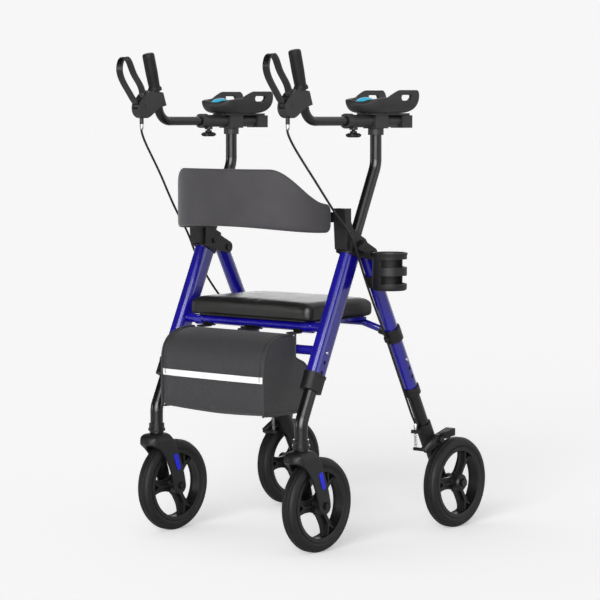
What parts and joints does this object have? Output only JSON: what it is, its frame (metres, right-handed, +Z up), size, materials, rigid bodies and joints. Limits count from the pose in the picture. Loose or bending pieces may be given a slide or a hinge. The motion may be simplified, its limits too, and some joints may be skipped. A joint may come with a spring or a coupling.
{
  "type": "upright walker",
  "caption": "Upright folding walking frame on wheels with padded forearm rests, loop brake levers, a flip-up padded seat, a bowed backrest, a front bag and a cup holder.",
  "frame": {"origin": "on the floor, on the middle plane, midway between the front and the rear axle lines", "axes": "+X to the user's left, -Y the way the user walks, +Z up"},
  "size_m": [0.5992, 0.7016, 1.0612],
  "materials": {
    "blue_paint": "glossy metallic blue paint",
    "black_tube": "satin black powder coat",
    "black_moulding": "fine-textured black moulding",
    "black_wheel": "satin black moulded wheel",
    "tyre_rubber": "soft matt tread rubber",
    "grip_rubber": "matt soft-touch rubber",
    "steel": "plated fasteners",
    "pad_fabric": "grey mesh cloth over foam",
    "bag_fabric": "coarse woven grey cloth",
    "seat_vinyl": "black coated upholstery, soft sheen",
    "cable_sheath": "smooth black cable sheath"
  },
  "bodies": {
    "main_frame": {"front_leg_tubes": "blue_paint", "front_cross_tubes": "blue_paint", "front_leg_collars": "black_moulding", "hinge_brackets": "black_moulding", "frame_bolts": "steel", "backrest_bar": "steel", "backrest_pad": "pad_fabric", "bag": "bag_fabric", "bag_hooks": "black_moulding", "brake_cables": "cable_sheath"},
    "rear_frame": {"rear_leg_tubes": "blue_paint", "rear_stretcher": "blue_paint", "rear_collars": "black_moulding", "cup_clamp": "black_moulding", "cup_holder": "black_moulding"},
    "seat": {"seat_frame": "blue_paint", "seat_pan": "black_moulding", "seat_cushion": "seat_vinyl"},
    "front_foot_left": {"front_lower_leg_left": "black_tube"},
    "front_spring_left": {"front_leg_button_left": "steel"},
    "caster_left": {"caster_fork_left": "black_moulding", "front_axle_left": "steel"},
    "front_wheel_left": {"front_rim_left": "black_wheel", "front_tyre_left": "tyre_rubber"},
    "rear_foot_left": {"rear_lower_leg_left": "black_tube", "brake_housing_left": "black_moulding"},
    "rear_spring_left": {"rear_leg_button_left": "steel"},
    "brake_left": {"brake_arm_left": "black_moulding"},
    "rear_wheel_left": {"rear_rim_left": "black_wheel", "rear_tyre_left": "tyre_rubber"},
    "arm_left": {"upright_left": "black_tube", "arm_support_left": "black_moulding", "forearm_pad_left": "black_moulding"},
    "handle_left": {"handle_tube_left": "black_tube", "grip_left": "grip_rubber", "lever_housing_left": "black_moulding"},
    "lever_left": {"brake_lever_left": "black_moulding"},
    "sleeve_screw_left": {"sleeve_knob_left": "grip_rubber"},
    "clamp_screw_left": {"clamp_knob_left": "grip_rubber"},
    "front_foot_right": {"front_lower_leg_right": "black_tube"},
    "front_spring_right": {"front_leg_button_right": "steel"},
    "caster_right": {"caster_fork_right": "black_moulding", "front_axle_right": "steel"},
    "front_wheel_right": {"front_rim_right": "black_wheel", "front_tyre_right": "tyre_rubber"},
    "rear_foot_right": {"rear_lower_leg_right": "black_tube", "brake_housing_right": "black_moulding"},
    "rear_spring_right": {"rear_leg_button_right": "steel"},
    "brake_right": {"brake_arm_right": "black_moulding"},
    "rear_wheel_right": {"rear_rim_right": "black_wheel", "rear_tyre_right": "tyre_rubber"},
    "arm_right": {"upright_right": "black_tube", "arm_support_right": "black_moulding", "forearm_pad_right": "black_moulding"},
    "handle_right": {"handle_tube_right": "black_tube", "grip_right": "grip_rubber", "lever_housing_right": "black_moulding"},
    "lever_right": {"brake_lever_right": "black_moulding"},
    "sleeve_screw_right": {"sleeve_knob_right": "grip_rubber"},
    "clamp_screw_right": {"clamp_knob_right": "grip_rubber"}
  },
  "joints": [
    {"name": "fold", "type": "hinge", "parent": "main_frame", "child": "rear_frame", "pos_m": [0, -0.0555, 0.627], "axis": [-1, 0, 0], "range_deg": [0, 30]},
    {"name": "seat_flip", "type": "hinge", "parent": "main_frame", "child": "seat", "pos_m": [0, -0.18052, 0.474], "axis": [1, 0, 0], "range_deg": [0, 50]},
    {"name": "front_leg_length_left", "type": "slide", "parent": "main_frame", "child": "front_foot_left", "axis": [0, -0.4179, -0.9085], "range_m": [0, 0.044], "deforming": ["front_leg_button_left"]},
    {"name": "front_button_left", "type": "slide", "parent": "front_foot_left", "child": "front_spring_left", "axis": [-1, 0, 0], "range_m": [0, 0.004], "stiffness_N_per_m": 500, "springref_m": -0.002},
    {"name": "caster_swivel_left", "type": "hinge", "parent": "front_foot_left", "child": "caster_left", "pos_m": [0.211, -0.26975, 0.24], "axis": [0, 0, 1], "continuous": true},
    {"name": "front_wheel_spin_left", "type": "hinge", "parent": "caster_left", "child": "front_wheel_left", "pos_m": [0.211, -0.21875, 0.1015], "axis": [1, 0, 0], "continuous": true},
    {"name": "rear_leg_length_left", "type": "slide", "parent": "rear_frame", "child": "rear_foot_left", "axis": [0, 0.4627, -0.8865], "range_m": [0, 0.044], "deforming": ["rear_leg_button_left"]},
    {"name": "rear_button_left", "type": "slide", "parent": "rear_foot_left", "child": "rear_spring_left", "axis": [-1, 0, 0], "range_m": [0, 0.004], "stiffness_N_per_m": 500, "springref_m": -0.002},
    {"name": "brake_shoe_left", "type": "hinge", "parent": "rear_foot_left", "child": "brake_left", "pos_m": [0.237, 0.167, 0.203], "axis": [-1, 0, 0], "range_deg": [0, 2.5]},
    {"name": "rear_wheel_spin_left", "type": "hinge", "parent": "rear_foot_left", "child": "rear_wheel_left", "pos_m": [0.2475, 0.21875, 0.1015], "axis": [1, 0, 0], "continuous": true},
    {"name": "arm_height_left", "type": "slide", "parent": "main_frame", "child": "arm_left", "axis": [0, 0.4179, 0.9085], "range_m": [-0.088, 0.022], "deforming": ["brake_cables"]},
    {"name": "handle_reach_left", "type": "slide", "parent": "arm_left", "child": "handle_left", "axis": [0, 1, 0], "range_m": [-0.06, 0.05]},
    {"name": "brake_squeeze_left", "type": "hinge", "parent": "handle_left", "child": "lever_left", "pos_m": [0.211, -0.313, 0.945], "axis": [-1, 0, 0], "range_deg": [0, 18], "stiffness_Nm_per_rad": 1.5, "springref_deg": -8.59},
    {"name": "sleeve_knob_turn_left", "type": "hinge", "parent": "arm_left", "child": "sleeve_screw_left", "pos_m": [0.211, -0.098, 0.885], "axis": [0, 0, 1], "continuous": true},
    {"name": "clamp_knob_turn_left", "type": "hinge", "parent": "main_frame", "child": "clamp_screw_left", "pos_m": [0.24, -0.1026, 0.6434], "axis": [1, 0, 0], "continuous": true},
    {"name": "front_leg_length_right", "type": "slide", "parent": "main_frame", "child": "front_foot_right", "axis": [0, -0.4179, -0.9085], "range_m": [0, 0.044], "deforming": ["front_leg_button_right"]},
    {"name": "front_button_right", "type": "slide", "parent": "front_foot_right", "child": "front_spring_right", "axis": [1, 0, 0], "range_m": [0, 0.004], "stiffness_N_per_m": 500, "springref_m": -0.002},
    {"name": "caster_swivel_right", "type": "hinge", "parent": "front_foot_right", "child": "caster_right", "pos_m": [-0.211, -0.26975, 0.24], "axis": [0, 0, 1], "continuous": true},
    {"name": "front_wheel_spin_right", "type": "hinge", "parent": "caster_right", "child": "front_wheel_right", "pos_m": [-0.211, -0.21875, 0.1015], "axis": [1, 0, 0], "continuous": true},
    {"name": "rear_leg_length_right", "type": "slide", "parent": "rear_frame", "child": "rear_foot_right", "axis": [0, 0.4627, -0.8865], "range_m": [0, 0.044], "deforming": ["rear_leg_button_right"]},
    {"name": "rear_button_right", "type": "slide", "parent": "rear_foot_right", "child": "rear_spring_right", "axis": [1, 0, 0], "range_m": [0, 0.004], "stiffness_N_per_m": 500, "springref_m": -0.002},
    {"name": "brake_shoe_right", "type": "hinge", "parent": "rear_foot_right", "child": "brake_right", "pos_m": [-0.237, 0.167, 0.203], "axis": [-1, 0, 0], "range_deg": [0, 2.5]},
    {"name": "rear_wheel_spin_right", "type": "hinge", "parent": "rear_foot_right", "child": "rear_wheel_right", "pos_m": [-0.2475, 0.21875, 0.1015], "axis": [1, 0, 0], "continuous": true},
    {"name": "arm_height_right", "type": "slide", "parent": "main_frame", "child": "arm_right", "axis": [0, 0.4179, 0.9085], "range_m": [-0.088, 0.022], "deforming": ["brake_cables"]},
    {"name": "handle_reach_right", "type": "slide", "parent": "arm_right", "child": "handle_right", "axis": [0, 1, 0], "range_m": [-0.06, 0.05]},
    {"name": "brake_squeeze_right", "type": "hinge", "parent": "handle_right", "child": "lever_right", "pos_m": [-0.211, -0.313, 0.945], "axis": [-1, 0, 0], "range_deg": [0, 18], "stiffness_Nm_per_rad": 1.5, "springref_deg": -8.59},
    {"name": "sleeve_knob_turn_right", "type": "hinge", "parent": "arm_right", "child": "sleeve_screw_right", "pos_m": [-0.211, -0.098, 0.885], "axis": [0, 0, 1], "continuous": true},
    {"name": "clamp_knob_turn_right", "type": "hinge", "parent": "main_frame", "child": "clamp_screw_right", "pos_m": [-0.24, -0.1026, 0.6434], "axis": [-1, 0, 0], "continuous": true}
  ],
  "couplings": [
    {"joint": "brake_shoe_left", "follows": "brake_squeeze_left", "ratio": 0.1388},
    {"joint": "brake_shoe_right", "follows": "brake_squeeze_right", "ratio": 0.1388}
  ]
}
